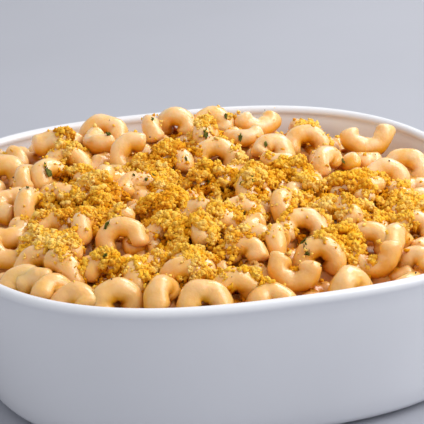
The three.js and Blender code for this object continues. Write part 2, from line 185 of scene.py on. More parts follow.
# a point of the bend's own plane, rolled about its normal, leaned about X and turned about Z
def place(shape, x, y, z):
    roll, lean, turn = (math.radians(shape[way]) for way in ("roll", "lean", "turn"))
    x1 = x * math.cos(roll) - y * math.sin(roll)
    y1 = x * math.sin(roll) + y * math.cos(roll)
    y2 = y1 * math.cos(lean) - z * math.sin(lean)
    z2 = y1 * math.sin(lean) + z * math.cos(lean)
    x3 = x1 * math.cos(turn) - y2 * math.sin(turn)
    y3 = x1 * math.sin(turn) + y2 * math.cos(turn)
    return np.stack([x3, y3, z2], -1)


# the middle line about its own middle: an arc of a circle that also rises across its plane
def middleLine(shape, share):
    arc, bend = math.radians(shape["arc"]), shape["bend"]
    middle = bend * math.sin(arc / 2) / (arc / 2)
    angle = share * arc
    return place(shape, bend * np.sin(angle), bend * np.cos(angle) - middle, shape["twist"] * share)


# a noodle with a drawn radius and twist
def noodleShape(draws, turn, lean, roll, arc, bend):
    return dict(turn=turn, lean=lean, roll=roll, arc=arc, bend=bend,
                radius=noodle["radius"] + draws.between(-noodle["radiusSpread"], noodle["radiusSpread"]),
                twist=draws.between(-noodle["twist"], noodle["twist"]))


# a noodle that is drawn altogether
def looseShape(draws, steepest):
    turn = draws.between(0, 360)
    lean = steepest * draws.next()
    roll = draws.between(0, 360)
    arc = draws.between(noodle["arcLow"], noodle["arcHigh"])
    bend = draws.between(noodle["bendLow"], noodle["bendHigh"])
    return noodleShape(draws, turn, lean, roll, arc, bend)


# where a noodle that the view shows has its middle: under its top by the reach of a plain noodle
def topSpot(across, down, rise, shape):
    plain = dict(shape, radius=noodle["radius"], twist=0)
    line = middleLine(plain, np.linspace(-0.5, 0.5, heap["beads"]))
    reach = line[:, 2].max() + plain["radius"]
    return sightSpot(lambda x, y: moundHeight(x, y) + rise - reach, across, down, view["fineStep"])


# Drops noodles one by one: each stands for a few balls, which come down until one of them touches
# the bed, the wall or a ball already there: z = other z + sqrt(touch^2 - dx^2 - dy^2).
class Heap:
    def __init__(self):
        self.pile = []
        self.balls = np.zeros((0, 5))  # x, y, z, radius, kept

    # the height at which balls come to rest on the bed, the wall and `others`, None where they don't fit
    def restHeight(self, x, y, shape, beads, others):
        bx, by, bz, radius = x + beads[:, 0], y + beads[:, 1], beads[:, 2], shape["radius"]
        inside = distanceIn(bx, by) - radius - heap["noodleGap"]
        if inside.min() < dish["lipRadius"]:
            return None
        wall = wallHeight(inside - dish["wall"] / 2)
        bed = moundHeight(bx, by) - heap["bedDepth"] + radius - heap["squash"]
        rest = max((wall - bz).max(), (bed - bz).max())
        touch = radius + others[:, 3] - heap["squash"]
        room = touch ** 2 - (bx[:, None] - others[:, 0]) ** 2 - (by[:, None] - others[:, 1]) ** 2
        if np.any((others[:, 4] > 0) & (room > heap["keptShare"] * touch ** 2)):
            return None
        near = room > 0
        if near.any():
            rest = max(rest, (others[:, 2] + np.sqrt(np.maximum(room, 0)) - bz[:, None])[near].max())
        return rest

    def keep(self, x, y, z, shape, beads, kept):
        self.pile.append(dict(x=x, y=y, z=z, shape=shape))
        new = np.concatenate([beads + (x, y, z), np.full((len(beads), 1), shape["radius"]),
                              np.full((len(beads), 1), float(kept))], 1)
        self.balls = np.concatenate([self.balls, new])

    # a noodle that finds its own height, and stays where its top is under the outline plus `limit`
    def drop(self, x, y, shape, limit):
        beads = middleLine(shape, np.linspace(-0.5, 0.5, heap["beads"]))
        z = self.restHeight(x, y, shape, beads, self.balls)
        if z is not None and beads[:, 2].max() + z + shape["radius"] <= moundHeight(x, y) + limit:
            self.keep(x, y, z, shape, beads, False)

    # a noodle laid with its top `rise` over the outline, or higher where the wall lifts it
    def lay(self, x, y, rise, shape):
        beads = middleLine(shape, np.linspace(-0.5, 0.5, heap["beads"]))
        rest = self.restHeight(x, y, shape, beads, self.balls[:0])
        if rest is None:
            return False
        z = max(rest, moundHeight(x, y) + rise - beads[:, 2].max() - shape["radius"])
        self.keep(x, y, z, shape, beads, True)
        return True

    def dropLoose(self, draws, count, limit, steepest):
        for i in range(count):
            x = draws.between(-dish["halfLength"], dish["halfLength"])
            y = draws.between(-dish["halfWidth"], dish["halfWidth"])
            self.drop(x, y, looseShape(draws, steepest), limit)


# low noodles first, then those that the view shows, moved in where the wall is in their way, then the rest
def fillHeap():
    draws = Draws(heap["seed"])
    filled = Heap()
    filled.dropLoose(draws, heap["lowDrops"], heap["lowLimit"], heap["lowLean"])
    for across, down, rise, turn, lean, roll, arc, bend in topNoodles:
        shape = noodleShape(draws, turn, lean, roll, arc, bend)
        x, y = topSpot(across, down, rise, shape)
        inward = 1.0
        while not filled.lay(x * inward, y * inward, rise, shape) and inward > heap["inward"]:
            inward -= heap["inwardStep"]
    filled.dropLoose(draws, heap["topDrops"], heap["topLimit"], heap["topLean"])
    return filled.pile


# an object at the origin, from points in millimetres and faces that all have as many corners
def makeMesh(name, points, faces):
    mesh = bpy.data.meshes.new(name)
    sides = faces.shape[1]
    mesh.vertices.add(len(points))
    mesh.vertices.foreach_set("co", (np.asarray(points, np.float64) * mm).ravel())
    mesh.loops.add(faces.size)
    mesh.loops.foreach_set("vertex_index", faces.astype(np.int32).ravel())
    mesh.polygons.add(len(faces))
    mesh.polygons.foreach_set("loop_start", np.arange(0, faces.size, sides, dtype=np.int32))
    mesh.update(calc_edges=True)
    mesh.validate()
    mesh.shade_smooth()
    piece = bpy.data.objects.new(name, mesh)
    scene.collection.objects.link(piece)
    return piece


# a piece's points, in millimetres
def meshPoints(piece):
    points = np.empty(3 * len(piece.data.vertices))
    piece.data.vertices.foreach_get("co", points)
    return points.reshape(-1, 3) / mm


# one value for each point, for shaders to read
def setAttribute(piece, name, values):
    layer = piece.data.attributes.new(name, "FLOAT", "POINT")
    layer.data.foreach_set("value", np.asarray(values, np.float32))


# four corners per face between the rows of a grid that closes round its columns
def tubeFaces(rows, columns):
    i, j = np.meshgrid(np.arange(rows - 1), np.arange(columns), indexing="ij")
    k = (j + 1) % columns
    corners = [i * columns + j, i * columns + k, (i + 1) * columns + k, (i + 1) * columns + j]
    return np.stack(corners, -1).reshape(-1, 4)


# rows of (inset, shrink, z) carried round the lip line: point = (line - normal * inset) * shrink
def loftRound(rows, columns):
    x, y, nx, ny = lipLine(np.arange(columns) * 2 * math.pi / columns)
    inset, shrink, z = (np.asarray(rows, float)[:, k, None] for k in range(3))
    px, py = (x - nx * inset) * shrink, (y - ny * inset) * shrink
    return np.stack([px, py, z + 0 * px], -1)


# merges the points that a ring of no size leaves on one spot
def closePoles(piece):
    work = bmesh.new()
    work.from_mesh(piece.data)
    bmesh.ops.remove_doubles(work, verts=work.verts, dist=1e-7)
    bmesh.ops.dissolve_degenerate(work, edges=work.edges, dist=1e-9)
    bmesh.ops.recalc_face_normals(work, faces=work.faces)
    work.to_mesh(piece.data)
    work.free()
    piece.data.shade_smooth()


# the nodes of one material, on the piece's own Object coordinates or its attributes
class Shader:
    def __init__(self, name):
        self.material = bpy.data.materials.new(name)
        self.material.use_nodes = True
        self.tree = self.material.node_tree
        self.surface = next(n for n in self.tree.nodes if n.type == "BSDF_PRINCIPLED")

    def set(self, **values):
        for socket, value in values.items():
            self.surface.inputs[socket.replace("_", " ")].default_value = value

    def add(self, kind, inputs=None, **settings):
        node = self.tree.nodes.new(kind)
        for key, value in settings.items():
            setattr(node, key, value)
        for key, value in (inputs or {}).items():
            if isinstance(value, bpy.types.NodeSocket):
                self.tree.links.new(value, node.inputs[key])
            else:
                node.inputs[key].default_value = value
        return node

    def noise(self, scale, detail=2.0, roughness=0.5):
        where = self.add("ShaderNodeTexCoord").outputs["Object"]
        return self.add("ShaderNodeTexNoise", {"Vector": where, "Scale": scale, "Detail": detail,
                                               "Roughness": roughness}).outputs["Fac"]

    def attribute(self, name):
        return self.add("ShaderNodeAttribute", attribute_name=name).outputs["Fac"]

    def ramp(self, value, stops):
        node = self.add("ShaderNodeValToRGB", {"Fac": value})
        while len(node.color_ramp.elements) < len(stops):
            node.color_ramp.elements.new(0.5)
        for element, (position, color) in zip(node.color_ramp.elements, stops):
            element.position = position
            element.color = (*color, 1)
        return node.outputs["Color"]

    # 0 up to `low` and 1 from `high`
    def share(self, value, low, high):
        return self.ramp(value, [(low, (0, 0, 0)), (high, (1, 1, 1))])

    def mix(self, share, a, b):
        node = self.add("ShaderNodeMix", data_type="RGBA")
        for socket, value in ((0, share), (6, a), (7, b)):
            if isinstance(value, bpy.types.NodeSocket):
                self.tree.links.new(value, node.inputs[socket])
            else:
                node.inputs[socket].default_value = value if socket == 0 else (*value, 1)
        return node.outputs[2]

    def paint(self, color):
        self.tree.links.new(color, self.surface.inputs["Base Color"])

    def bump(self, height, strength, distance):
        node = self.add("ShaderNodeBump", {"Height": height, "Strength": strength, "Distance": distance})
        self.tree.links.new(node.outputs["Normal"], self.surface.inputs["Normal"])


def shaded(color, by):
    return tuple(by * part for part in color)


# gives a piece its material and its body, and hides the nodes it replaces
def finish(piece, shader, replaced=()):
    piece.data.materials.append(shader.material)
    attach(piece, "root")
    for node in replaced:
        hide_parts(node)
    print("made", piece.name, "with", len(piece.data.polygons), "faces")


glaze = dict(columns=224, neckDrop=2.2, footBevel=(2.4, 1.2, 0.4), bevelHeight=0.3, footRound=0.6,
             bottomRows=8, wallRows=12, lipRows=19, innerRows=9, color=(0.80, 0.81, 0.85), shade=0.97,
             roughness=0.22, ripple=0.00012)


# The dish's profile, carried round the lip line: underside, foot ring, rounded bottom edge, outer wall,
# lip, inner wall, rounded inner edge and floor. The round stretches are arcs.
def makeDish():
    half, neck = dish["wall"] / 2, dish["height"] - glaze["neckDrop"] * dish["lipRadius"]
    bottom, lip, inner = dish["bottomRadius"], dish["lipRadius"], dish["floorRadius"]
    footOuter = wallInset(0) - half + bottom
    footInner = footOuter + dish["footWidth"]
    far, middle, near = glaze["footBevel"]
    rows = [(0, share, dish["footHeight"]) for share in (0, 0.3, 0.6)]
    rows += [(footInner + far, 1, dish["footHeight"]), (footInner + middle, 1, dish["footHeight"])]
    rows += [(footInner + near, 1, glaze["bevelHeight"]), (footInner, 1, 0)]
    rows += [(footOuter + glaze["footRound"], 1, 0)]
    for a in np.linspace(0, math.pi / 2.4, glaze["bottomRows"]):
        z = bottom * (1 - math.cos(a))
        rows.append((footOuter - bottom * math.sin(a) - wallInset(0) + wallInset(z), 1, z))
    for z in np.linspace(bottom, neck, glaze["wallRows"])[1:]:
        rows.append((wallInset(z) - half, 1, z))
    for a in np.linspace(-math.pi / 6, 7 * math.pi / 6, glaze["lipRows"]):
        rows.append((-lip * math.cos(a), 1, dish["height"] - lip * (1 - math.sin(a))))
    for z in np.linspace(neck, dish["floor"] + inner, glaze["innerRows"])[:-1]:
        rows.append((wallInset(z) + half, 1, z))
    for a in np.linspace(0, math.pi / 2, glaze["innerRows"]):
        z = dish["floor"] + inner * (1 - math.sin(a))
        rows.append((wallInset(z) + half + inner * (1 - math.cos(a)), 1, z))
    rows += [(2 * inner, share, dish["floor"]) for share in (0.75, 0.4, 0)]
    points = loftRound(rows, glaze["columns"])
    piece = makeMesh("glazedDish", points.reshape(-1, 3), tubeFaces(len(rows), glaze["columns"]))
    closePoles(piece)
    shader = Shader("whiteGlaze")
    shader.set(Roughness=glaze["roughness"], Coat_Weight=0.2, Coat_Roughness=0.08)
    tint = shader.noise(9, 3)
    shader.paint(shader.ramp(tint, [(0.3, glaze["color"]), (0.7, shaded(glaze["color"], glaze["shade"]))]))
    shader.bump(shader.noise(42, 2), 0.12, glaze["ripple"])
    finish(piece, shader, ["dish"])


heights = dict(step=0.6, reachX=118, reachY=108, smooth=3.0, beads=29, beadSpan=0.56, over=1.5, deep=9)


# the best of the heights within a radius, each raised or lowered by what a ball has there: sqrt(r^2 - d^2)
def sweep(z, radius, choose, bulge):
    reach = int(radius / heights["step"])
    padded, out = np.pad(z, reach, mode="edge"), z
    for di in range(-reach, reach + 1):
        for dj in range(-reach, reach + 1):
            room = radius ** 2 - (di ** 2 + dj ** 2) * heights["step"] ** 2
            if room >= 0:
                part = padded[reach + di:reach + di + z.shape[0], reach + dj:reach + dj + z.shape[1]]
                out = choose(out, part + bulge * math.sqrt(room))
    return out


# the heights of all that lies in the dish, on a grid seen from above
class HeightMap:
    def __init__(self, start):
        self.xs = np.arange(-heights["reachX"], heights["reachX"] + 0.1, heights["step"])
        self.ys = np.arange(-heights["reachY"], heights["reachY"] + 0.1, heights["step"])
        self.gridX, self.gridY = np.meshgrid(self.xs, self.ys, indexing="ij")
        self.z = start(self.gridX, self.gridY)

    def index(self, x, y):
        i = np.clip(np.rint((x - self.xs[0]) / heights["step"]).astype(int), 0, len(self.xs) - 1)
        j = np.clip(np.rint((y - self.ys[0]) / heights["step"]).astype(int), 0, len(self.ys) - 1)
        return i, j

    def at(self, x, y):
        return self.z[self.index(x, y)]

    # raises the map to the tops of balls: z + sqrt(r^2 - d^2)
    def addBalls(self, x, y, z, radius):
        reach = int(np.ceil(radius.max() / heights["step"]))
        i, j = self.index(x, y)
        for di in range(-reach, reach + 1):
            for dj in range(-reach, reach + 1):
                a, b = i + di, j + dj
                ok = (a >= 0) & (a < len(self.xs)) & (b >= 0) & (b < len(self.ys))
                a, b = a[ok], b[ok]
                room = radius[ok] ** 2 - (self.xs[a] - x[ok]) ** 2 - (self.ys[b] - y[ok]) ** 2
                high = room > 0
                np.maximum.at(self.z, (a[high], b[high]), z[ok][high] + np.sqrt(room[high]))

    # a mean over a square, done as running sums along each axis
    def blurred(self, reach, z=None):
        k = int(round(reach / heights["step"]))
        out = self.z if z is None else z
        for axis in (0, 1):
            padded = np.pad(out, [(k + 1, k) if a == axis else (0, 0) for a in (0, 1)], mode="edge")
            total = np.cumsum(padded, axis)
            n = out.shape[axis]
            high = np.take(total, np.arange(2 * k + 1, 2 * k + 1 + n), axis)
            low = np.take(total, np.arange(0, n), axis)
            out = (high - low) / (2 * k + 1)
        return out

    # the spots of the noodles that lines of sight meet, each with its size
    def seen(self, spots):
        def tops(x, y):
            return self.noodleTops[self.index(x, y)]
        return [(*sightSpot(tops, across, down, view["coarseStep"]), size) for across, down, size in spots]


# the noodles' tops over the bed, as balls along each middle line
def mapNoodles(pile):
    surface = HeightMap(lambda x, y: moundHeight(x, y) - heap["bedDepth"])
    share = np.linspace(-heights["beadSpan"], heights["beadSpan"], heights["beads"])
    for item in pile:
        line = middleLine(item["shape"], share)
        surface.addBalls(item["x"] + line[:, 0], item["y"] + line[:, 1], item["z"] + line[:, 2],
                         np.full(len(line), item["shape"]["radius"]))
    surface.smooth = surface.blurred(heights["smooth"])
    surface.noodleTops = surface.z.copy()
    return surface


# how far under the heap's rounded-off surface a point lies: (smooth height + over - z) / deep, from 0 to 1
def depthShare(surface, points):
    over = surface.smooth[surface.index(points[..., 0], points[..., 1])] + heights["over"]
    return np.clip((over - points[..., 2]) / heights["deep"], 0, 1)


# the four corners of every cell of a grid, along a first axis
def cellCorners(z):
    return np.stack([z[:-1, :-1], z[1:, :-1], z[:-1, 1:], z[1:, 1:]])


# A closed slab: its upper side is the grid `z` where its cells are wanted, its lower side z - deep,
# and a wall stands along every edge that only one cell has.
def slabMesh(name, x, y, z, wanted, deep):
    rows, columns = z.shape
    low = rows * columns
    number = np.arange(low).reshape(rows, columns)
    i, j = np.nonzero(wanted)
    upper = np.stack([number[i, j], number[i + 1, j], number[i + 1, j + 1], number[i, j + 1]], 1)
    edges = np.concatenate([upper[:, [0, 1]], upper[:, [1, 2]], upper[:, [2, 3]], upper[:, [3, 0]]])
    rim = edges[~np.isin(edges[:, 0] * low + edges[:, 1], edges[:, 1] * low + edges[:, 0])]
    sides = np.stack([rim[:, 1], rim[:, 0], rim[:, 0] + low, rim[:, 1] + low], 1)
    faces = np.concatenate([upper, upper[:, ::-1] + low, sides])
    grid = np.stack([x, y, z], -1).reshape(-1, 3)
    used, faces = np.unique(faces, return_inverse=True)
    return makeMesh(name, np.concatenate([grid, grid - (0, 0, deep)])[used], faces.reshape(-1, 4))


tube = dict(sides=16, body=15, capRows=5, cap=0.72, capPower=2.6, flat=0.06, lump=0.055, flare=0.05,
            pale=0.38, litRight=0.3, litBack=0.35, paleSpread=0.3, flankShade=0.55, flankShadeGain=0.75,
            colors=[(0.0, (0.93, 0.515, 0.18)), (0.5, (0.96, 0.60, 0.265)), (1.0, (0.985, 0.71, 0.40))],
            patchColor=(0.92, 0.50, 0.12), flankShadeColor=(0.92, 0.45, 0.015), creaseShadeColor=(0.64, 0.23, 0.008))


# One noodle: rings round its middle line, radius * (1 - t^p)^(1/p) over each rounded end; the section
# is an oval with soft lumps. It also gives how far upwards each point faces.
def noodlePoints(item, rng):
    shape = item["shape"]
    radius, arc = shape["radius"], math.radians(shape["arc"])
    length = arc * shape["bend"]
    t = np.sin(np.linspace(0, 1, tube["capRows"] + 1)[1:] * math.pi / 2)
    over = t * tube["cap"] * radius
    cap = np.maximum(1 - t ** tube["capPower"], 0.0) ** (1 / tube["capPower"])
    body, ends = np.linspace(-0.5, 0.5, tube["body"]), 0.5 * np.ones(len(t))
    share = np.concatenate([-ends, body, ends])
    beyond = np.concatenate([-over[::-1], 0 * body, over])
    thick = np.concatenate([cap[::-1], 0 * body + 1, cap])
    angle = share * arc
    zero = 0 * angle
    along = place(shape, np.cos(angle), -np.sin(angle), zero)
    across = place(shape, np.sin(angle), np.cos(angle), zero)
    normal = place(shape, zero, zero, zero + 1)
    line = middleLine(shape, share) + along * beyond[:, None]
    turn = np.arange(tube["sides"]) * 2 * math.pi / tube["sides"]
    way = (share * length + beyond)[:, None]
    phase = rng.uniform(0, 2 * math.pi, 6)
    oval = 1 + tube["flat"] * np.cos(2 * turn + phase[0])
    lumps = (np.sin(way * 0.55 + 2 * turn + phase[1]) * np.cos(turn + phase[2])
             + 0.7 * np.sin(way * 0.9 - turn + phase[3]) + 0.6 * np.sin(3 * turn + way * 0.6 + phase[4]))
    flare = 1 + tube["flare"] * (2 * share[:, None]) ** 4 - tube["flare"] / 2
    size = radius * thick[:, None] * oval * flare * (1 + tube["lump"] * lumps)
    ring = np.cos(turn)[None, :, None] * across[:, None, :] + np.sin(turn)[None, :, None] * normal[:, None, :]
    middle = np.array([item["x"], item["y"], item["z"]])
    return line[:, None, :] + size[:, :, None] * ring + middle, ring[..., 2]


# all noodles in one mesh, with painted light and shade: paler to the right and the back, the side of the
# lamps, and browner on their flanks and low down
def makeNoodles(pile, surface, rng):
    grids, facing = (np.stack(part) for part in zip(*[noodlePoints(item, rng) for item in pile]))
    count, rows, sides, _ = grids.shape
    first = np.arange(count) * rows * sides
    faces = (tubeFaces(rows, sides)[None] + first[:, None, None]).reshape(-1, 4)
    piece = makeMesh("noodles", grids.reshape(-1, 3), faces)
    # painted shade: points that lie deep in the heap, in its creases and under other noodles, are mixed to
    # dark amber
    setAttribute(piece, "shadeDepth", depthShare(surface, grids).ravel())
    # painted shade: the more a point faces down, the more its noodle is mixed to amber
    setAttribute(piece, "flankShade", np.clip(tube["flankShade"] - tube["flankShadeGain"] * facing, 0, 1).ravel())
    # painted light: the noodles' tone rises to the right and the back, where the lamps are; a drawn share on
    # top of it is random tone
    x, y = (np.array([item[axis] for item in pile]) for axis in ("x", "y"))
    pale = (tube["pale"] + tube["litRight"] * x / dish["halfLength"]
            + tube["litBack"] * y / dish["halfWidth"])
    tone = np.clip(pale + tube["paleSpread"] * rng.uniform(0, 1, count), 0, 1)
    setAttribute(piece, "tone", np.repeat(tone, rows * sides))
    closePoles(piece)
    shader = Shader("cheesyNoodle")
    shader.set(Roughness=0.32, Coat_Weight=0.8, Coat_Roughness=0.1, Subsurface_Weight=0.3,
               Subsurface_Scale=0.0035, Subsurface_Radius=(1.0, 0.45, 0.12), IOR=1.42)
    top = shader.ramp(shader.attribute("tone"), tube["colors"])
    patches = shader.share(shader.noise(120, 4, 0.65), 0.42, 0.66)
    warm = shader.mix(patches, top, tube["patchColor"])
    amber = shader.mix(shader.share(shader.attribute("flankShade"), 0.1, 0.8), warm, tube["flankShadeColor"])
    shader.paint(shader.mix(shader.share(shader.attribute("shadeDepth"), 0.15, 0.75), amber, tube["creaseShadeColor"]))
    shader.bump(shader.noise(260, 3, 0.55), 0.5, 0.0011)
    finish(piece, shader, ["pasta"])


sauce = dict(columns=240, rings=84, sideRings=5, edgeRows=6, under=6.5, deepest=11, gap=0.5, ripple=0.4,
             sideDrop=18, topDrop=14, colors=[(0.3, (0.48, 0.17, 0.015)), (0.7, (0.64, 0.27, 0.04))])


# the sauce's upper side: a set depth under the rounded-off heap, with ripples, and well under the mound
def sauceLevel(surface, x, y):
    ripples = sauce["ripple"] * np.sin(x * 0.7) * np.sin(y * 0.6 + 1)
    level = surface.smooth[surface.index(x, y)] - sauce["under"] + ripples
    return np.minimum(level, moundHeight(x, y) - sauce["deepest"])


# the sauce that noodles sink into: a closed body that lines the dish from inside and ends at its level
def makeSauce(surface):
    side, bottom = dish["wall"] / 2 + sauce["gap"], dish["floor"] + sauce["gap"]
    rows = [(0, 0, bottom), (0, 0.5, bottom)]
    for a in np.linspace(math.pi / 2, 0, sauce["edgeRows"]):
        z = bottom + dish["floorRadius"] * (1 - math.sin(a))
        rows.append((wallInset(z) + side + dish["floorRadius"] * (1 - math.cos(a)), 1, z))
    sideTop = dish["height"] - sauce["sideDrop"]
    for z in np.linspace(bottom + dish["floorRadius"], sideTop, sauce["sideRings"])[1:]:
        rows.append((wallInset(z) + side, 1, z))
    lower = len(rows)
    for share in np.linspace(1, 0, sauce["rings"]):
        rows.append((wallInset(dish["height"] - sauce["topDrop"]) + side, share, 0))
    points = loftRound(rows, sauce["columns"])
    top = points[lower:]
    top[..., 2] = sauceLevel(surface, top[..., 0], top[..., 1])
    piece = makeMesh("cheeseSauce", points.reshape(-1, 3), tubeFaces(len(rows), sauce["columns"]))
    closePoles(piece)
    shader = Shader("cheeseSauce")
    shader.set(Roughness=0.42, Coat_Weight=0.15, Coat_Roughness=0.3, Subsurface_Weight=0.2,
               Subsurface_Scale=0.003, Subsurface_Radius=(1.0, 0.4, 0.12))
    # painted shade: the sauce's own amber is made darker than the sauce on the noodles, for the gaps where it
    # shows
    shader.paint(shader.ramp(shader.noise(90, 4, 0.6), sauce["colors"]))
    shader.bump(shader.noise(300, 3), 0.4, 0.0008)
    finish(piece, shader)


film = dict(crease=1.8, creaseFrom=0.3, spread=3, under=0.35, deep=1.8, blur=1.0, steepest=2.4,
            foot=3.0, climb=2.0, creaseShadeColor=(0.55, 0.17, 0.006),
            colors=[(0.3, (0.86, 0.40, 0.05)), (0.7, (0.91, 0.50, 0.12))])


# The sauce that clings in the creases between noodles: z = the heights with a ball rolled over - under, so
# that it comes out only where the ball can't reach down, but at most `climb` over the lowest point near.
def makeFilm(surface):
    low = np.maximum(surface.z, sauceLevel(surface, surface.gridX, surface.gridY))
    filled = sweep(sweep(low, film["crease"], np.maximum, 1), film["crease"], np.minimum, -1)
    z = np.minimum(filled - film["under"], sweep(low, film["foot"], np.minimum, 0) + film["climb"])
    creases = (filled - low > film["creaseFrom"]).astype(float)
    for axis in (0, 1):
        creases = sum(np.roll(creases, k, axis) for k in range(-film["spread"], film["spread"] + 1))
    skip = np.s_[::2, ::2]  # every second row and column of the map is enough
    x, y, z = surface.gridX[skip], surface.gridY[skip], surface.blurred(film["blur"], z)[skip]
    inside = distanceIn(x, y) > dish["wall"] / 2 + wallInset(z - film["deep"]) + sauce["gap"]
    wanted = cellCorners((creases[skip] > 0) & inside).all(axis=0)
    wanted = wanted & (np.ptp(cellCorners(z), axis=0) < film["steepest"])
    piece = slabMesh("sauceFilm", x, y, z, wanted, film["deep"])
    # painted shade: the film is mixed to dark amber the deeper it lies under the heap's surface
    setAttribute(piece, "shadeDepth", depthShare(surface, meshPoints(piece)))
    shader = Shader("sauceFilm")
    shader.set(Roughness=0.38, Coat_Weight=0.15, Coat_Roughness=0.25, Subsurface_Weight=0.25,
               Subsurface_Scale=0.003, Subsurface_Radius=(1.0, 0.5, 0.2))
    thin = shader.ramp(shader.noise(120, 3, 0.6), film["colors"])
    shader.paint(shader.mix(shader.share(shader.attribute("shadeDepth"), 0.15, 0.75), thin, film["creaseShadeColor"]))
    finish(piece, shader)


grain = dict(corner=0.7, stretchLow=0.6, stretchHigh=1.5, cornerLow=0.7, cornerHigh=1.3, cornerShift=0.45)


# grains like little blocks, each stretched along three axes, with its corners moved, then turned
# by the matrix of a drawn quaternion
def grainMeshes(x, y, z, radius, rng):
    ends = (-1, 1)
    corners = np.array([(i, j, k) for i in ends for j in ends for k in ends], float) * grain["corner"]
    faces = np.array([(0, 1, 3), (0, 3, 2), (4, 6, 7), (4, 7, 5), (0, 4, 5), (0, 5, 1),
                      (2, 3, 7), (2, 7, 6), (0, 2, 6), (0, 6, 4), (1, 5, 7), (1, 7, 3)])
    n = len(x)
    stretch = rng.uniform(grain["stretchLow"], grain["stretchHigh"], (n, 1, 3))
    local = corners[None] * stretch * rng.uniform(grain["cornerLow"], grain["cornerHigh"], (n, 8, 1))
    local = local + rng.uniform(-grain["cornerShift"], grain["cornerShift"], (n, 8, 3))
    q = rng.normal(size=(n, 4))
    w, a, b, c = (q / np.linalg.norm(q, axis=1, keepdims=True)).T
    turned = np.stack([
        np.stack([1 - 2 * (b * b + c * c), 2 * (a * b - c * w), 2 * (a * c + b * w)], -1),
        np.stack([2 * (a * b + c * w), 1 - 2 * (a * a + c * c), 2 * (b * c - a * w)], -1),
        np.stack([2 * (a * c - b * w), 2 * (b * c + a * w), 1 - 2 * (a * a + b * b)], -1)], 1)
    points = np.einsum("nij,nkj->nki", turned, local) * radius[:, None, None]
    points = points + np.stack([x, y, z], -1)[:, None, :]
    return points.reshape(-1, 3), (faces[None] + 8 * np.arange(n)[:, None, None]).reshape(-1, 3)


# one piece of grains, each in one tone
def makeGrains(name, x, y, z, radius, tone, shader, rng):
    points, faces = grainMeshes(x, y, z, radius, rng)
    piece = makeMesh(name, points, faces)
    setAttribute(piece, "tone", np.repeat(tone, 8))
    finish(piece, shader)


crumbs = dict(
    lobe=0.22, smallLobe=0.12, rim=2, edge=4, thinnest=0.03,  # how the cover spreads
    smooth=4.2, sunk=-5.5, high=5.4, coat=3.0, coatFrom=0.9, coatMost=2.5,  # the bed's level
    lumps=2200, lumpLow=1.0, lumpHigh=2.8, bits=14000, bitLow=0.6, bitHigh=1.2, lumpFrom=0.3, lumpSunk=0.8,
    steepest=1.8, under=2.4, bedUnder=0.9, grainUnder=0.3,
    golden=15000, pale=15000, toasted=5000, radius=0.48, spread=0.5, smallest=0.45, largest=2.2,
    sinkLow=-0.3, sinkHigh=0.4, loose=0.13, looseGain=1.5, stray=0.008, strayFrom=12, strayOver=30, wallGap=7,
    light=0.55, shade=2.8, levelReach=2.8, toneSpread=0.03, darker=0.22,
    toastedAway=0.1, toastedGain=3, toastedLoss=0.6)

# each kind's colours along the tone: the low end is the painted shade of the hollows, the high end crumbs
# that stand out
crumbColors = {
    "goldenCrumbs": [(0.1, (0.56, 0.165, 0.001)), (0.4, (0.87, 0.415, 0.012)),
                     (0.7, (0.95, 0.56, 0.055)), (1, (0.98, 0.67, 0.19))],
    "paleCrumbs": [(0.1, (0.61, 0.19, 0.002)), (0.4, (0.90, 0.455, 0.02)),
                   (0.7, (0.96, 0.59, 0.09)), (1, (0.98, 0.71, 0.26))],
    "toastedCrumbs": [(0.1, (0.42, 0.12, 0.003)), (0.5, (0.80, 0.33, 0.015)), (1, (0.92, 0.48, 0.05))],
}

# where the view shows toasted crumbs: pixels across and down, size in millimetres
toastedSpots = [(70, 138, 5), (112, 190, 6), (106, 128, 3), (150, 157, 5), (190, 183, 6), (158, 216, 6),
                (62, 232, 9), (330, 175, 6), (240, 236, 7), (346, 190, 6), (180, 145, 5), (128, 246, 4)]

